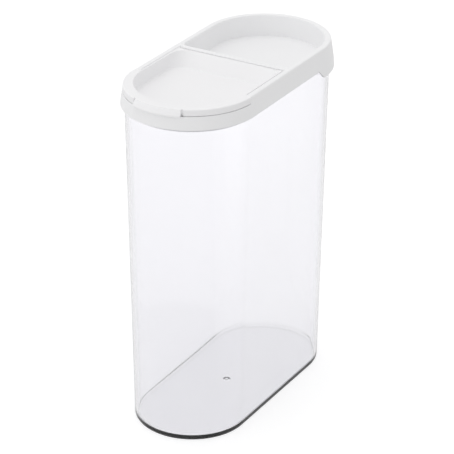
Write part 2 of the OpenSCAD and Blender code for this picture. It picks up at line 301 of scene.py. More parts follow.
def with_height(plan, z):
    """Plan points with a height, one for all of them or one for each."""
    return np.concatenate([plan, np.broadcast_to(np.asarray(z, float), plan.shape[:-1])[..., None]], axis=-1)


def grid_faces(columns, rows, wrap_columns=True, wrap_rows=False):
    """Quads between neighbouring points of a grid stored column after column."""
    i = np.arange(columns if wrap_columns else columns - 1)
    j = np.arange(rows if wrap_rows else rows - 1)
    i, j = np.meshgrid(i, j, indexing="ij")
    i2, j2 = (i + 1) % columns, (j + 1) % rows
    return np.stack([i * rows + j, i2 * rows + j, i2 * rows + j2, i * rows + j2], axis=-1).reshape(-1, 4)


def surface(grid, wrap_columns=True, wrap_rows=False):
    """(points, quads) of a grid with the shape (columns, rows, 3)."""
    return grid.reshape(-1, 3), grid_faces(grid.shape[0], grid.shape[1], wrap_columns, wrap_rows)


def joined(*parts):
    """Several (points, quads) as one."""
    counts = np.cumsum([0] + [len(p) for p, _ in parts])
    return np.concatenate([p for p, _ in parts]), np.concatenate([q + n for (_, q), n in zip(parts, counts)])


def welded(points, quads):
    """Points closer than a ten-thousandth of a millimetre become one. A quad that loses a corner by it
    becomes a triangle, and one that loses two goes. Faces turn outwards, by the sign of the volume."""
    keys = np.round(points / 1e-4).astype(np.int64)
    _, first, index = np.unique(keys, axis=0, return_index=True, return_inverse=True)
    points, q = points[first], index.reshape(-1)[quads]
    a, b, c, d = q.T
    quad = (a != b) & (b != c) & (c != d) & (d != a) & (a != c) & (b != d)
    tri = np.select(
        [(a == b)[:, None], (b == c)[:, None], (c == d)[:, None], (d == a)[:, None]],
        [q[:, [0, 2, 3]], q[:, [0, 1, 3]], q[:, [0, 1, 2]], q[:, [0, 1, 2]]],
        0,
    )
    good = ~quad & (tri[:, 0] != tri[:, 1]) & (tri[:, 1] != tri[:, 2]) & (tri[:, 2] != tri[:, 0])
    q, t = q[quad], tri[good]
    all_tris = np.concatenate([q[:, :3], q[:, [0, 2, 3]], t])
    p = points[all_tris]
    if np.einsum("ij,ij->i", p[:, 0], np.cross(p[:, 1], p[:, 2])).sum() < 0:
        q, t = q[:, ::-1], t[:, ::-1]
    return points, q, t


def piece(name, part, body, node, material):
    """A shaded object from (points, quads) in millimetres, riding a body and standing for a CAD node."""
    points, quads, tris = welded(*part)
    mesh = bpy.data.meshes.new(name)
    mesh.from_pydata((points * MM).tolist(), [], quads.tolist() + tris.tolist())
    if mesh.validate(clean_customdata=False):
        raise RuntimeError(f"{name}: the surface has broken faces")
    mesh.polygons.foreach_set("use_smooth", np.ones(len(mesh.polygons), bool))
    mesh.set_sharp_from_angle(angle=np.radians(SHARP_ANGLE))
    mesh.materials.append(material)
    obj = bpy.data.objects.new(name, mesh)
    bpy.context.scene.collection.objects.link(obj)
    weigh = obj.modifiers.new("weighted_normal", "WEIGHTED_NORMAL")
    weigh.keep_sharp = True
    weigh.weight = 100
    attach(obj, body)
    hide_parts(node)
    return obj


# --- the pieces' surfaces ---------------------------------------------------------------------------


def jar_surface(s):
    """Jar: the profile runs from the middle of the underside out round the foot, up the leaning wall,
    over the round mouth, down inside and round the floor to its middle, and is carried round the plan.

    Round the middle of the floor both faces rise by a height times (1 - (d / r)^2)^2 of the distance d
    from it, the shallow pit of the gate."""
    h = s.half_core
    side_y = np.unique(np.concatenate([np.linspace(-h, h, 45), np.linspace(-5, 5, 31)]))
    foot = s.mouth_radius - s.jar_draft
    inner_z = s.jar_floor

    def wall(z):
        return foot + s.jar_draft * z / s.jar_height

    heights = np.linspace(6, s.jar_height - 3, 24)
    low = np.linspace(0, 5, 16)
    corners = np.array(
        [[r, 0] for r in low]
        + [[wall(0), 0]]
        + [[wall(z), z] for z in heights]
        + [[s.mouth_radius, s.jar_height], [s.mouth_radius - s.jar_wall, s.jar_height]]
        + [[wall(z) - s.jar_wall, z] for z in heights[::-1]]
        + [[wall(inner_z) - s.jar_wall, inner_z]]
        + [[r, inner_z] for r in low[::-1]]
    )
    flat, up = len(low), len(heights)
    radii = [0] * flat + [s.foot_round] + [0] * up + [0.6, 0.6] + [0] * up + [s.floor_round] + [0] * flat
    steps = [0] * flat + [8] + [0] * up + [5, 5] + [0] * up + [9] + [0] * flat
    grid = swept(rounded(corners, radii, steps)[None], oval_columns(h, side_y, 72))
    d = np.hypot(grid[..., 0], grid[..., 1])
    pit = np.clip(1 - (d / 3.2) ** 2, 0, 1) ** 2 - 0.8 * np.clip(1 - (d / 1.3) ** 2, 0, 1) ** 2
    grid[..., 2] += np.where(grid[..., 2] < 1, 0.5, 0.25) * pit * (grid[..., 2] < s.jar_floor + 0.01)
    return surface(grid)


def lid_columns(s):
    """Columns of the lid ring, closer together where the skirt steps down to the grip and where the rim
    ends at the front."""
    h = s.half_core
    ends = [-h + 0.02, -h + 0.06, -h + 0.16, -h + 0.32, -h + 0.55, -h + 1.14, -h + 1.26]
    side_y = np.unique(np.concatenate([ends, np.linspace(-h + 3, h - 9, 20), np.linspace(h - 8.6, h, 24)]))
    return oval_columns(h, side_y, 96)


def lid_surface(s):
    """Lid ring: a closed profile of plug wall with its groove, roof over the jar's rim, flared skirt and
    rounded rim, carried round the plan.

    Each column has its own corners. On the sides and at the rear the rim is at full height, in front
    it is the ledge, and the roof comes down 1.2 before the sides end. The skirt's foot drops by 45
    degrees along the sides to the grip, whose outside leans out as it goes down."""
    columns = lid_columns(s)
    nx, ny, core = columns
    h = s.half_core
    front = (ny < -1e-9) | (core < -h + 1e-9)
    y = np.where(front, -h, core)
    edge = y + h
    z_top = np.where(front, s.ledge_z, s.top - 0.55 * np.clip(1 - edge / 0.5, 0, 1) ** 2)
    roof = np.where(front | (edge < 1.2), s.seat_z, s.roof_z)
    path = rounded([[h - 20, 0], [h - 7.2, 0], [h - 1.7, 5.5], [h + 9, 5.5]], [0, 1.3, 1.3, 0], [0, 6, 6, 0])
    drop = np.interp(np.where(ny > 1e-9, h + 9, y), path[:, 0], path[:, 1])
    drop = drop * (s.skirt_z - s.grip_low) / 5.5
    low = s.skirt_z - drop
    level = s.skirt_z + 0.8 * np.clip(1 - drop, 0, 1)
    one = np.ones_like(core)
    groove_z, groove_r = s.plug_z + 2.8, s.plug_r - 0.8
    rows = [
        (s.well_floor_r * one, s.plug_z * one, 0.3),
        (s.plug_r * one, s.plug_z * one, 0.5),
        (s.plug_r * one, groove_z * one, 0.15),
        (groove_r * one, groove_z * one, 0.1),
        (groove_r * one, (groove_z + 2.8) * one, 0.1),
        (s.plug_r * one, (groove_z + 2.8) * one, 0.15),
        (s.plug_r * one, roof, 0.4),
        (s.skirt_r(roof) - s.skirt_wall, roof, 0.4),
        (s.skirt_r(level) - s.skirt_wall, level, 0),
        (s.skirt_low_r - s.skirt_wall + 0.2 * (s.skirt_z - low) / 5.5, low, 0.25),
        (s.skirt_low_r + s.grip_out * (s.skirt_z - low) / 5.5, low, 0.35),
        (s.skirt_r(level), level, 0),
        (s.skirt_r(z_top), z_top, np.where(front, 0.4, 1.0)),
        (s.well_r(z_top), z_top, np.where(front, 0.4, 0.8)),
        (s.well_floor_r * one, s.well_z * one, 0),
    ]
    corners = np.stack([np.stack([r, z], -1) for r, z, _ in rows], axis=1)
    radii = np.stack([np.broadcast_to(c, core.shape) for _, _, c in rows], axis=1)
    steps = [2, 3, 2, 1, 1, 2, 2, 2, 0, 3, 4, 0, 6, 5, 0]
    return surface(swept(rounded(corners, radii, steps), columns), wrap_rows=True)


def rear_panel_surface(s):
    """Panel under the rear well: rows from a middle line out to the wall, up a small fillet and down
    inside the wall to the underside. The plan is straight in front, where it ends inside the bulkhead, and
    round behind, turned half a turn from the cap's."""
    h = s.half_core
    columns = front_columns(np.linspace(180, 360, 61), 24, 1, 10)
    r = s.well_floor_r
    front_y = 6.4
    line = front_outline(columns, r, -h, front_y, 0)
    core = np.stack([0 * line[:, 0], np.clip(line[:, 1], -h, front_y - 14)], -1)
    outs = [-0.9, 0.05, 0.35, 0.35]
    z = [s.well_z, s.well_z, s.well_z + 1.2, s.plug_z + 0.02]
    rims = [with_height(front_outline(columns, r + o, -h, front_y, 0), v) for o, v in zip(outs, z)]
    corners = np.stack([with_height(core, s.well_z), *rims, with_height(core, s.plug_z + 0.02)], axis=1)
    grid = rounded(corners, [0, 0, 0.9, 0, 0, 0], [0, 0, 5, 0, 0, 0])
    grid = grid * [-1, -1, 1]
    return surface(grid)


def across_surface(section, half_width, flare=None):
    """Bar across the lid: the section of (y, z) repeated from one side to the other, as far out at each
    height as half_width says, with its ends closed at the section's middle. flare moves the points of
    the rear face back near the ends."""
    end = np.linspace(0.8, 1, 13)[1:]
    u = np.concatenate([-end[::-1], np.linspace(-0.8, 0.8, 13), end])
    y = np.broadcast_to(section[:, 0], (len(u), len(section)))
    z = np.broadcast_to(section[:, 1], y.shape)
    x = u[:, None] * half_width(z)
    if flare is not None:
        y = y + flare(x, y, z)
    grid = np.stack([x, y, z], -1)
    ends = [np.broadcast_to(grid[i].mean(0), grid[i].shape)[None] for i in (0, -1)]
    return surface(np.concatenate([ends[0], grid, ends[1]]), wrap_columns=False, wrap_rows=True)


def bar_surface(s):
    """Bar between cap and rear well. Its front top edge carries on the ramp's slope. Its rear face curves
    back into the side walls: within 4 of the wall it moves back by 4 minus the height of a circle."""
    front_y = s.hinge_y + s.tail_radius + GAP
    rear_y = front_y + 2
    foot_z = s.well_z - 0.4
    edge_z = s.tray_z + (front_y - s.ramp_foot) * s.slope
    corners = [
        [front_y, foot_z],
        [rear_y, foot_z],
        [rear_y, s.top],
        [s.ramp_y(s.top), s.top],
        [front_y, edge_z],
    ]
    section = rounded(corners, [0, 0, 0.6, 0.5, 0.25], [0, 0, 6, 3, 3])
    section = np.insert(section, 2, np.linspace([rear_y, s.well_z + 1], [rear_y, s.top - 1.5], 4), axis=0)

    def flare(x, y, z):
        inside = np.clip((np.abs(x) - (s.well_r(z) - 4)) / 4, 0, 1)
        return np.where(y > front_y + 1.5, 4 * (1 - np.sqrt(1 - np.minimum(inside, 0.98) ** 2)), 0)

    return across_surface(section, lambda z: s.well_r(np.minimum(z, s.top - 1)) + 0.45, flare)


def bulkhead_surface(s):
    """Low wall behind the pouring mouth, from the plug's foot to just under the cap."""
    y1, y2, z1, z2 = -6.8, -5.4, s.plug_z, s.under_z - 0.6
    section = rounded([[y1, z1], [y2, z1], [y2, z2], [y1, z2]], [0.2, 0.2, 0.5, 0.5], [2, 2, 4, 4])
    return across_surface(section, lambda z: s.well_floor_r + 0.5 + 0 * z)


def ribs_surface(s):
    """Ribs over the jar's rim and the two hinge bosses: blocks across the channel, each turned about its
    round end's centre or set at its y."""
    h = s.half_core
    r0, r1, z0, z1 = s.plug_r - 0.2, s.rim_r - 0.1, s.seat_z, s.roof_z + 0.2
    box = np.array([[x, y, z] for x in (r0, r1) for y in (-0.5, 0.5) for z in (z0, z1)])
    quads = np.array([[0, 1, 3, 2], [4, 6, 7, 5], [0, 4, 5, 1], [2, 3, 7, 6], [0, 2, 6, 4], [1, 5, 7, 3]])
    angle = np.radians([0, 180, 0, 180, 0, 180, 30, 90, 150])
    centre = np.array([0.55 * h, 0.55 * h, -0.55 * h, -0.55 * h, s.hinge_y, s.hinge_y, h, h, h])
    width = np.array([1.2, 1.2, 1.2, 1.2, 6, 6, 1.2, 1.2, 1.2])
    x = box[None, :, 0] * np.cos(angle)[:, None] - box[None, :, 1] * width[:, None] * np.sin(angle)[:, None]
    y = box[None, :, 0] * np.sin(angle)[:, None] + box[None, :, 1] * width[:, None] * np.cos(angle)[:, None]
    points = np.stack([x, y + centre[:, None], np.broadcast_to(box[None, :, 2], x.shape)], -1)
    return points.reshape(-1, 3), (quads[None] + 8 * np.arange(len(angle))[:, None, None]).reshape(-1, 4)


def cap_columns():
    """Columns of the cap, closer together at the thumb tab's ends, its slits and the lip's ends."""
    tab_end = [TAB_ANGLE - 0.25, TAB_ANGLE]
    slit = [SLIT_FROM, SLIT_FROM + 0.12, SLIT_TO - 0.12, SLIT_TO, SLIT_TO + 0.3]
    off = np.concatenate(
        [
            np.linspace(0, TAB_ANGLE - 0.6, 16),
            tab_end,
            slit,
            np.linspace(SLIT_TO + 1, 89.2, 42),
            [89.55, 90.0],
        ]
    )
    angles = np.concatenate([270 - off[::-1], 270 + off[1:]])
    return front_columns(angles, 40, 10, 16)


def cap_surface(s):
    """Cap shell: every column is a path from the middle line of the tray floor out to its edge, up the
    leaning side or the ramp, over the rim, down the outside and back to the middle line underneath.

    At the round front the path goes out over the lip and back under it. The lip's section turns into the
    thumb tab's within the tab's angle, and is cut up to the roof in the slits. At the rear the path
    follows the tail's circle about the hinge and then the ramp's underside."""
    h = s.half_core
    columns = cap_columns()
    part, share = columns
    front = part == 0
    off = np.where(front, np.abs(share - 270), 90)
    ease = np.clip(share, 0, 1)
    ease = ease * ease * (3 - 2 * ease)
    rearness = np.select([part == 2, part == 3, part == 4], [ease, 1.0 + 0 * ease, 1 - ease], 0.0)
    rearness = np.where(front, 0, rearness)

    def mixed(side, rear):
        return side + (rear - side) * rearness

    def angle_point(deg):
        a = np.radians(deg)
        return s.hinge_y + s.tail_radius * np.cos(a), s.hinge_z + s.tail_radius * np.sin(a)

    # tray
    side_top, rear_top = s.top - 0.3, angle_point(TAIL_FROM)
    z_top = np.where(front, s.top, mixed(side_top, rear_top[1] - 0.02))
    tray_y = -h + 1.7
    floor = front_outline(columns, s.tray_r(s.tray_z), tray_y, s.ramp_foot, 11)
    core_end = s.ramp_foot - 16
    core = np.stack([0 * floor[:, 0], np.clip(floor[:, 1], tray_y, core_end)], -1)
    upper_y = s.ramp_y(z_top) * rearness + (1 - rearness) * rear_top[0]
    upper = front_outline(columns, s.tray_r(z_top), tray_y, upper_y, 12)
    path = [with_height(core, s.tray_z), with_height(floor, s.tray_z), with_height(upper, z_top)]
    radii = [0 * off, 1.2 + 0 * off, 0.3 + 0 * off]
    steps = [0, 5, 3]

    # lip, tab and slits as (radius, height under the top, radius of the corner); beside and behind
    # them the cap's outer wall and its tail
    lip = np.array(
        [
            [39, 0, 0],
            [LIP_DRAWN, 0, 1],
            [LIP_DRAWN, -1.5, 0],
            [LIP_DRAWN, -2.5, 0],
            [LIP_DRAWN, -4, 0.3],
            [41, -4, 0],
            [40.8, -4, 0],
            [40.15, -4, 0.3],
            [40.15, -1.6, 0.3],
        ]
    )
    tab = np.array(
        [
            [39, 0, 0],
            [40.75, 0, 0.8],
            [42.3, -1.9, 1.2],
            [TAB_DRAWN, -3.4, 0.5],
            [TAB_DRAWN, -4.5, 0.35],
            [42.2, -4.5, 0.25],
            [42, -4, 0.2],
            [40.15, -4, 0.3],
            [40.15, -1.6, 0.3],
        ]
    )
    lip_round, tab_round = lip[:, 2], tab[:, 2]
    lip = lip[:, :2] + [s.lip_r - LIP_DRAWN, s.top]
    tab = tab[:, :2] + [-CAP_LOW.y / MM - h - TAB_DRAWN, s.top]
    weight = np.clip((SLIT_FROM - off) / (SLIT_FROM - TAB_ANGLE), 0, 1)[:, None]
    r = lip[:, 0] + (tab[:, 0] - lip[:, 0]) * weight
    z = lip[:, 1] + (tab[:, 1] - lip[:, 1]) * weight
    in_slit = ((off > SLIT_FROM + 0.05) & (off < SLIT_TO - 0.05))[:, None]
    cut = in_slit & (np.arange(len(lip)) > 0) & (np.arange(len(lip)) < 5)
    r = np.where(cut, np.minimum(r, s.lip_r - 0.95), r)
    rad = lip_round + (tab_round - lip_round) * weight
    side_z = side_top - np.array([0, 0.25, 0.5, 0.7, 0.9, 1.1, 1.3, 1.45, 1.6])
    tail_deg = np.linspace(TAIL_FROM, TAIL_TO, len(lip))
    lip_steps = [2, 5, 4, 3, 3, 2, 2, 2, 3]
    for k in range(len(lip)):
        ty, tz = angle_point(tail_deg[k])
        zk = np.where(front, z[:, k], mixed(side_z[k], tz))
        rk = np.where(front, r[:, k], s.cap_r(zk))
        rk = np.where(front, rk, mixed(rk, s.cheek_r))
        plan = front_outline(columns, rk, np.where(front, -h, -h - 0.3), ty, 1.4)
        plan[:, 1] = np.where(front, np.minimum(plan[:, 1], -h - 0.3), plan[:, 1])
        path.append(with_height(plan, zk))
        radii.append(np.where(front, rad[:, k], 0.25 if k == 0 else 0))
        steps.append(lip_steps[k])

    # outer wall below the lip, ramp's underside, flat underside: heights at the sides and the rear,
    # radius and steps of the corner
    for side, rear, corner, count in (
        (s.top - 1.9, s.top - 4.5, 0, 0),
        (s.under_z + 4.5, s.top - 7.4, 0, 0),
        (s.under_z, s.under_z, 0.45, 4),
    ):
        zk = np.where(front, side, mixed(side, rear))
        rear_y = np.minimum(s.ramp_y(zk + s.ramp_drop), angle_point(TAIL_TO)[0])
        plan = front_outline(columns, s.cap_r(zk), np.where(front, -h, -h - GAP), rear_y, 1.4)
        path.append(with_height(plan, zk))
        radii.append(corner + 0 * off)
        steps.append(count)
    core_low = np.stack([0 * off, np.clip(path[-1][:, 1], -h, -23)], -1)
    path.append(with_height(core_low, s.under_z))
    radii.append(0 * off)
    steps.append(0)
    return surface(rounded(np.stack(path, 1), np.stack(radii, 1), steps))


def cheeks_surface(s):
    """The cap's two cheeks beside the hinge: plates under the ends of the ramp, bounded by the tail's
    circle. Each is the outline of (y, z) at an inner and an outer x, closed at the outline's middle."""
    a = np.radians(np.linspace(-3, -90, 22))
    arc = np.stack([s.hinge_y + s.tail_radius * np.cos(a), s.hinge_z + s.tail_radius * np.sin(a)], -1)
    foot_z, tip_y = s.under_z + 0.02, 1.2
    low = rounded([arc[-1], [s.hinge_y, foot_z], [-10, foot_z]], [0, 0.6, 0], [0, 4, 0])
    tip_z = s.tray_z + (tip_y - s.ramp_foot) * s.slope - 0.9
    back = [[-10, s.under_z + 1.5], [-6.5, s.tray_z - 0.4], [tip_y, tip_z]]
    outline = np.concatenate([arc, low[1:], back])
    inner_x = np.full(len(outline), s.tray_r(s.tray_z))
    outer_x = np.minimum(s.cap_r(outline[:, 1]), s.cheek_r) - 0.02
    middle = np.broadcast_to(outline.mean(0), outline.shape)
    rows = ((inner_x, middle), (inner_x, outline), (outer_x, outline), (0 * outer_x + outer_x.mean(), middle))
    grid = np.stack([np.concatenate([x[:, None], yz], 1) for x, yz in rows], axis=1)
    return joined(surface(grid), surface(grid * [-1, 1, 1]))


def front_ring(s, profile, r, rear_y, corner):
    """Ring inside the front half of the lid: a closed profile of (outward offset, height) carried round a
    plan with a round front and a straight rear edge with rounded corners."""
    columns = front_columns(np.linspace(180, 360, 73), 20, 8, 14)
    rows = [
        with_height(front_outline(columns, r + out, -s.half_core, rear_y + out, corner + out), z)
        for out, z in profile
    ]
    return surface(np.stack(rows, 1), wrap_rows=True)


def plug_ring_surface(s):
    """Plug ring under the cap, with the groove for its seal."""
    ring_z, under = s.under_z - 3.8, s.under_z + 0.1
    groove_low, groove_high, groove = ring_z + 0.8, ring_z + 2.6, -0.7
    profile = rounded(
        [
            [-SHEET, ring_z],
            [0, ring_z],
            [0, groove_low],
            [groove, groove_low],
            [groove, groove_high],
            [0, groove_high],
            [0, under],
            [-SHEET, under],
        ],
        [0.3, 0.3, 0.1, 0.1, 0.1, 0.1, 0, 0],
        [3, 3, 2, 1, 1, 2, 0, 0],
    )
    return front_ring(s, profile, s.well_floor_r - 0.6, -7.5, 4)


def cap_seal_surface(s):
    """Seal of the cap's plug ring: a soft ring with one rounded lip."""
    z1 = s.under_z - 3.0
    profile = rounded(
        [[-0.6, z1], [0, z1], [0.3, z1 + 0.9], [0, z1 + 1.8], [-0.6, z1 + 1.8]],
        [0.1, 0.15, 0.25, 0.15, 0.1],
        [2, 2, 4, 2, 2],
    )
    return front_ring(s, profile, s.well_floor_r - 0.6, -7.5, 4)


def lid_seal_surface(s):
    """Seal of the lid's plug wall: a soft ring with two rounded lips, round the whole plan."""
    z1 = s.plug_z + 2.8
    lip = LID_SEAL_R
    neck, inner = lip - 0.3, s.plug_r - 0.7
    r = [inner, neck, lip, neck, neck, lip, neck, inner]
    z = [0, 0, 0.56, 1.12, 1.68, 2.24, 2.8, 2.8]
    corner = [0.05, 0.1, 0.2, 0.2, 0.2, 0.2, 0.1, 0.05]
    profile = rounded(np.stack([r, z], -1) + [0, z1], corner, [1, 2, 4, 3, 3, 4, 2, 1])
    columns = oval_columns(s.half_core, np.linspace(-s.half_core, s.half_core, 31), 72)
    return surface(swept(profile[None], columns), wrap_rows=True)


def studs_surface(s):
    """Two pivot studs: a profile of (x, radius) turned about the hinge axis, closed on the axis."""
    x0, x1 = s.cheek_r - 0.25, s.cap_r(s.hinge_z) + 2.9
    profile = rounded([[x0, 0], [x0, 1.5], [x1, 1.5], [x1, 0]], [0, 0, 0.4, 0], [0, 0, 5, 0])
    a = np.linspace(0, 2 * np.pi, 49)[:-1, None]
    x = np.broadcast_to(profile[:, 0], (len(a), len(profile)))
    r = profile[:, 1]
    grid = np.stack([x, s.hinge_y + r * np.cos(a), s.hinge_z + r * np.sin(a)], -1)
    return joined(surface(grid), surface(grid * [-1, 1, 1]))


# --- materials --------------------------------------------------------------------------------------


def new_material(name):
    """An empty node material and its node tree."""
    mat = bpy.data.materials.new(name)
    mat.use_nodes = True
    mat.node_tree.nodes.clear()
    return mat, mat.node_tree


def put(tree, kind, **values):
    """A node of that kind, with input sockets set by name."""
    node = tree.nodes.new(kind)
    for key, value in values.items():
        node.inputs[key.replace("_", " ")].default_value = value
    return node


def moulding(name, base, roughness, grain, subsurface):
    """Satin moulded plastic: a fine moulded grain, and about one per cent of change in shade and roughness
    over a few centimetres, all from noise in the object's own coordinates."""
    mat, tree = new_material(name)
    link = tree.links.new
    where = tree.nodes.new("ShaderNodeTexCoord").outputs["Object"]
    broad = put(tree, "ShaderNodeTexNoise", Scale=28.0, Detail=3.0, Roughness=0.5)
    fine = put(tree, "ShaderNodeTexNoise", Scale=2600.0, Detail=2.0, Roughness=0.6)
    shade = tree.nodes.new("ShaderNodeMix")
    shade.data_type = "RGBA"
    shade.inputs["A"].default_value = (*[0.985 * c for c in base], 1)
    shade.inputs["B"].default_value = (*[min(1, 1.015 * c) for c in base], 1)
    rough = put(tree, "ShaderNodeMapRange")
    rough.inputs["To Min"].default_value = roughness - 0.04
    rough.inputs["To Max"].default_value = roughness + 0.04
    bump = put(tree, "ShaderNodeBump", Strength=grain, Distance=0.00004)
    bsdf = tree.nodes.new("ShaderNodeBsdfPrincipled")
    bsdf.inputs["IOR"].default_value = 1.49
    bsdf.inputs["Subsurface Weight"].default_value = subsurface
    bsdf.inputs["Subsurface Radius"].default_value = (1, 1, 1)
    bsdf.inputs["Subsurface Scale"].default_value = 0.0012
    out = tree.nodes.new("ShaderNodeOutputMaterial")
    link(where, broad.inputs["Vector"])
    link(where, fine.inputs["Vector"])
    link(broad.outputs["Fac"], shade.inputs["Factor"])
    link(broad.outputs["Fac"], rough.inputs["Value"])
    link(fine.outputs["Fac"], bump.inputs["Height"])
    link(shade.outputs["Result"], bsdf.inputs["Base Color"])
    link(rough.outputs["Result"], bsdf.inputs["Roughness"])
    link(bump.outputs["Normal"], bsdf.inputs["Normal"])
    link(bsdf.outputs["BSDF"], out.inputs["Surface"])
    return mat


def clear_plastic(name, tint):
    """Clear moulded plastic: smooth refraction with faint waviness, slightly grey where light runs a long
    way inside the wall, and light that goes straight through for shadows."""
    mat, tree = new_material(name)
    link = tree.links.new
    where = tree.nodes.new("ShaderNodeTexCoord").outputs["Object"]
    wave = put(tree, "ShaderNodeTexNoise", Scale=18.0, Detail=1.0, Roughness=0.4)
    cloud = put(tree, "ShaderNodeTexNoise", Scale=60.0, Detail=4.0, Roughness=0.55)
    rough = put(tree, "ShaderNodeMapRange")
    rough.inputs["To Min"].default_value = 0.015
    rough.inputs["To Max"].default_value = 0.05
    bump = put(tree, "ShaderNodeBump", Strength=0.25, Distance=0.0002)
    bsdf = tree.nodes.new("ShaderNodeBsdfPrincipled")
    bsdf.inputs["Base Color"].default_value = (*tint, 1)
    bsdf.inputs["IOR"].default_value = 1.55
    bsdf.inputs["Transmission Weight"].default_value = 1
    clear = tree.nodes.new("ShaderNodeBsdfTransparent")
    clear.inputs["Color"].default_value = (0.975, 0.975, 0.975, 1)
    path = tree.nodes.new("ShaderNodeLightPath")
    mix = tree.nodes.new("ShaderNodeMixShader")
    volume = tree.nodes.new("ShaderNodeVolumeAbsorption")
    volume.inputs["Color"].default_value = (0.5, 0.5, 0.55, 1)
    volume.inputs["Density"].default_value = 54.0
    out = tree.nodes.new("ShaderNodeOutputMaterial")
    link(where, wave.inputs["Vector"])
    link(where, cloud.inputs["Vector"])
    link(wave.outputs["Fac"], bump.inputs["Height"])
    link(cloud.outputs["Fac"], rough.inputs["Value"])
    link(rough.outputs["Result"], bsdf.inputs["Roughness"])
    link(bump.outputs["Normal"], bsdf.inputs["Normal"])
    straight = combined(tree, "MAXIMUM", path.outputs["Is Shadow Ray"], path.outputs["Is Diffuse Ray"])
    link(straight, mix.inputs["Fac"])
    link(bsdf.outputs["BSDF"], mix.inputs[1])
    link(clear.outputs["BSDF"], mix.inputs[2])
    link(mix.outputs["Shader"], out.inputs["Surface"])
    link(volume.outputs["Volume"], out.inputs["Volume"])
    return mat


# --- operators --------------------------------------------------------------------------------------


class CONTAINER_OT_jar(bpy.types.Operator):
    """Build the clear jar."""

    bl_idname = "container.jar"
    bl_label = "Jar"

    def execute(self, context):
        mat = clear_plastic("clear_jar", context.scene.container_colours.clear)
        piece("jar_shell", jar_surface(sizes()), "jar", "jar", mat)
        return {"FINISHED"}


class CONTAINER_OT_lid(bpy.types.Operator):
    """Build the lid frame: ring, rear well, hinge bar, bulkhead and ribs."""

    bl_idname = "container.lid"
    bl_label = "Lid frame"

    def execute(self, context):
        s = sizes()
        mat = moulding("white_lid", context.scene.container_colours.lid, 0.42, 0.35, 0.0)
        for name, part in (
            ("lid_ring", lid_surface(s)),
            ("rear_panel", rear_panel_surface(s)),
            ("hinge_bar", bar_surface(s)),
            ("pour_bulkhead", bulkhead_surface(s)),
            ("lid_ribs", ribs_surface(s)),
        ):
            piece(name, part, "lid", "lid_frame", mat)
        return {"FINISHED"}


class CONTAINER_OT_cap(bpy.types.Operator):
    """Build the pouring cap: tray with ramp, lip and thumb tab, cheeks, plug ring and pivot studs."""

    bl_idname = "container.cap"
    bl_label = "Pouring cap"

    def execute(self, context):
        s = sizes()
        mat = moulding("white_cap", context.scene.container_colours.cap, 0.4, 0.35, 0.0)
        for name, part in (
            ("cap_shell", cap_surface(s)),
            ("cap_cheeks", cheeks_surface(s)),
            ("cap_plug_ring", plug_ring_surface(s)),
            ("pivot_studs", studs_surface(s)),
        ):
            piece(name, part, "cap", "flip_cap", mat)
        return {"FINISHED"}


class CONTAINER_OT_seals(bpy.types.Operator):
    """Build the two soft seals."""

    bl_idname = "container.seals"
    bl_label = "Seals"

    def execute(self, context):
        s = sizes()
        mat = moulding("seal", context.scene.container_colours.seal, 0.55, 0.2, 0.25)
        piece("lid_seal_ring", lid_seal_surface(s), "lid", "lid_seal", mat)
        piece("cap_seal_ring", cap_seal_surface(s), "cap", "cap_seal", mat)
        return {"FINISHED"}


def camera_like_photo():
    """Camera at the photo's viewing angle."""
    az, el, roll = np.radians(PHOTO_ANGLES)
    back = np.array([np.sin(az) * np.cos(el), -np.cos(az) * np.cos(el), np.sin(el)])
    right = np.array([np.cos(az), np.sin(az), 0])
    up = np.cross(back, right)
    turned = np.cos(roll) * right + np.sin(roll) * up
    up = np.cos(roll) * up - np.sin(roll) * right
    place = Vector(PHOTO_AIM) + Vector(back) * PHOTO_DISTANCE
    data = bpy.data.cameras.new("camera")
    data.lens = PHOTO_LENS
    data.sensor_width = 36
    data.shift_x, data.shift_y = PHOTO_SHIFT
    data.clip_end = 20
    cam = bpy.data.objects.new("camera", data)
    cam.matrix_world = Matrix.Translation(place) @ Matrix(np.stack([turned, up, back], 1).tolist()).to_4x4()
    bpy.context.scene.collection.objects.link(cam)
    bpy.context.scene.camera = cam


def combined(tree, operation, first, second):
    """The result of a two-input maths node; an input is a socket or a number."""
    node = tree.nodes.new("ShaderNodeMath")
    node.operation = operation
    for socket, value in zip(node.inputs, (first, second)):
        if isinstance(value, (int, float)):
            socket.default_value = value
        else:
            tree.links.new(value, socket)
    return node.outputs[0]


def ray_level(tree, camera, mirror, through, other):
    """A level for camera rays, one for mirror rays, one for see-through rays and one for the rest, among
    them all that come after a matt surface. Each is a number or a socket."""
    path = tree.nodes.new("ShaderNodeLightPath")
    seen = path.outputs["Is Camera Ray"]
    first = combined(tree, "LESS_THAN", path.outputs["Diffuse Depth"], 0.5)
    unseen = combined(tree, "SUBTRACT", 1.0, seen)
    passed = combined(tree, "MULTIPLY", path.outputs["Is Transmission Ray"], unseen)
    passed = combined(tree, "MULTIPLY", passed, first)
    taken = combined(tree, "ADD", seen, passed)
    untaken = combined(tree, "SUBTRACT", 1.0, taken)
    bounced = combined(tree, "MULTIPLY", path.outputs["Is Glossy Ray"], untaken)
    bounced = combined(tree, "MULTIPLY", bounced, first)
    rest = combined(tree, "SUBTRACT", combined(tree, "SUBTRACT", 1.0, taken), bounced)
    total = combined(tree, "MULTIPLY", seen, camera)
    for share, level in ((passed, through), (bounced, mirror), (rest, other)):
        total = combined(tree, "ADD", total, combined(tree, "MULTIPLY", share, level))
    return total


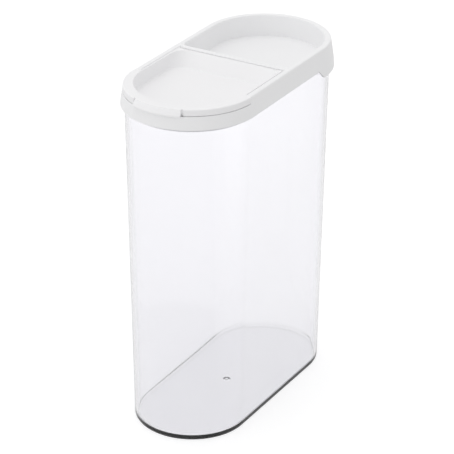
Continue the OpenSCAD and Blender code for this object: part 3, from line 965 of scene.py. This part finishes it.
def painted_dark_bands(tree, place, start, widening, width, left, right):
    """Level of what the clear plastic bends into view: 1 straight behind the jar and in front of it, falling
    to the left and right levels on two painted dark bands, fixed in the room behind and beside it, that
    stand in for dark studio cards. On the floor this is painted shade; in the world it is dimmer light.

    place is a position or direction in the room. The bands begin at start plus widening times the depth
    behind the jar, to each side of its middle line, and reach their full darkness width further out."""

    def along(direction):
        node = tree.nodes.new("ShaderNodeVectorMath")
        node.operation = "DOT_PRODUCT"
        node.inputs[1].default_value = direction
        tree.links.new(place, node.inputs[0])
        return node.outputs["Value"]

    def fade(value, low, high):
        node = put(tree, "ShaderNodeMapRange")
        node.interpolation_type = "SMOOTHSTEP"
        node.inputs["From Min"].default_value = low
        node.inputs["From Max"].default_value = high
        tree.links.new(value, node.inputs["Value"])
        return node.outputs["Result"]

    side, depth = along(PAINTED_BAND_SIDE), along(PAINTED_BAND_DEPTH)
    widened = combined(tree, "MULTIPLY", depth, widening)
    out = combined(tree, "SUBTRACT", combined(tree, "ABSOLUTE", side, 0), widened)
    dark = combined(tree, "MULTIPLY", fade(out, start, start + width), fade(depth, -0.02, 0.05))
    is_right = combined(tree, "GREATER_THAN", side, 0.0)
    strength = combined(tree, "ADD", 1 - left, combined(tree, "MULTIPLY", is_right, left - right))
    return combined(tree, "SUBTRACT", 1.0, combined(tree, "MULTIPLY", dark, strength))


class CONTAINER_OT_stage(bpy.types.Operator):
    """Set the pale floor with painted dark bands and a painted shadow that only show through the clear
    plastic, the soft studio light with two dimmer bands, and the camera.
    """

    bl_idname = "container.stage"
    bl_label = "Stage"

    def execute(self, context):
        scene = context.scene
        scene.view_settings.view_transform = "Standard"
        mesh = bpy.data.meshes.new("floor")
        corners = [(x, y, -0.0002) for x, y in ((-6, -6), (6, -6), (6, 6), (-6, 6))]
        mesh.from_pydata(corners, [], [(0, 1, 2, 3)])
        floor = bpy.data.objects.new("floor", mesh)
        scene.collection.objects.link(floor)
        mat, tree = new_material("floor")
        where = tree.nodes.new("ShaderNodeTexCoord").outputs["Object"]
        # Painted shade: dark bands on the floor that only see-through rays meet, seen as dark edges in the
        # jar.
        painted_bands = painted_dark_bands(tree, where, 0.09, 0.09, 0.25, 0.9, 0.84)
        shine = put(tree, "ShaderNodeBsdfDiffuse")
        tint = tree.nodes.new("ShaderNodeVectorMath")
        tint.operation = "SCALE"
        tint.inputs[0].default_value = scene.container_colours.floor
        # See-through rays get half the floor colour, darkened further in the painted dark bands.
        half = combined(tree, "MULTIPLY", painted_bands, 0.5)
        tree.links.new(ray_level(tree, 1.0, 1.0, half, 1.0), tint.inputs["Scale"])
        tree.links.new(tint.outputs["Vector"], shine.inputs["Color"])
        # Painted shadow: for see-through rays the floor's glow is lower near the jar and rises further out.
        reach = tree.nodes.new("ShaderNodeVectorMath")
        reach.operation = "LENGTH"
        tree.links.new(where, reach.inputs[0])
        painted_shadow_rise = put(tree, "ShaderNodeMapRange")
        for key, value in (("From Min", 0.05), ("From Max", 0.42), ("To Min", 0.7), ("To Max", 0.805)):
            painted_shadow_rise.inputs[key].default_value = value
        tree.links.new(reach.outputs["Value"], painted_shadow_rise.inputs["Value"])
        through = combined(tree, "MULTIPLY", painted_bands, painted_shadow_rise.outputs["Result"])
        # The glow keeps the floor evenly white for camera and mirror rays; for see-through rays it carries
        # the painted dark bands and the painted shadow.
        glow = tree.nodes.new("ShaderNodeEmission")
        glow.inputs["Color"].default_value = (1, 1, 1, 1)
        tree.links.new(ray_level(tree, 0.42, 0.23, through, 0.0), glow.inputs["Strength"])
        add = tree.nodes.new("ShaderNodeAddShader")
        out = tree.nodes.new("ShaderNodeOutputMaterial")
        tree.links.new(shine.outputs[0], add.inputs[0])
        tree.links.new(glow.outputs[0], add.inputs[1])
        tree.links.new(add.outputs[0], out.inputs["Surface"])
        mesh.materials.append(mat)

        world = bpy.data.worlds.new("studio")
        world.use_nodes = True
        tree = world.node_tree
        sky = tree.nodes["Background"]
        direction = tree.nodes.new("ShaderNodeTexCoord").outputs["Generated"]
        # Dimmer world light in two fixed bands beside and behind the jar, only for see-through rays.
        painted_bands = painted_dark_bands(tree, direction, 0.25, 0.0, 0.3, 0.75, 0.6)
        sky.inputs["Color"].default_value = (1, 1, 1, 1)
        tree.links.new(ray_level(tree, 1.0, 1.0, painted_bands, 0.75), sky.inputs["Strength"])
        scene.world = world

        for name, place, size, energy in (
            ("soft_key", (-0.5, 0.25, 2.1), 1.6, 7),
            ("front_fill", (-0.9, -2.1, 0.6), 2.0, 8),
        ):
            data = bpy.data.lights.new(name, "AREA")
            data.shape = "SQUARE"
            data.size = size
            data.energy = energy
            light = bpy.data.objects.new(name, data)
            place = Vector(place)
            aim = (Vector((0, 0, 0.15)) - place).to_track_quat("-Z", "Y").to_matrix().to_4x4()
            light.matrix_world = Matrix.Translation(place) @ aim
            light.visible_camera = light.visible_transmission = light.visible_glossy = False
            scene.collection.objects.link(light)
        camera_like_photo()
        return {"FINISHED"}


class CONTAINER_PT_panel(bpy.types.Panel):
    """Sidebar panel with the builder's steps."""

    bl_idname = "CONTAINER_PT_panel"
    bl_label = "Cereal container"
    bl_space_type = "VIEW_3D"
    bl_region_type = "UI"
    bl_category = "Container"

    def draw(self, context):
        layout = self.layout
        for operator in OPERATORS:
            layout.operator(operator.bl_idname)
        for group in (context.scene.container_sizes, context.scene.container_colours):
            for key in type(group).__annotations__:
                layout.prop(group, key)


OPERATORS = (CONTAINER_OT_jar, CONTAINER_OT_lid, CONTAINER_OT_cap, CONTAINER_OT_seals, CONTAINER_OT_stage)
CLASSES = (ContainerSizes, ContainerColours, *OPERATORS, CONTAINER_PT_panel)


def register():
    for cls in CLASSES:
        bpy.utils.register_class(cls)
    bpy.types.Scene.container_sizes = PointerProperty(type=ContainerSizes)
    bpy.types.Scene.container_colours = PointerProperty(type=ContainerColours)


def unregister():
    del bpy.types.Scene.container_colours
    del bpy.types.Scene.container_sizes
    for cls in reversed(CLASSES):
        bpy.utils.unregister_class(cls)


def main():
    """Build everything in order."""
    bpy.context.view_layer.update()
    register()
    for operator in OPERATORS:
        if getattr(bpy.ops.container, operator.bl_idname.split(".")[1])() != {"FINISHED"}:
            raise RuntimeError(f"{operator.bl_label} wasn't built")


if __name__ == "__main__":
    main()
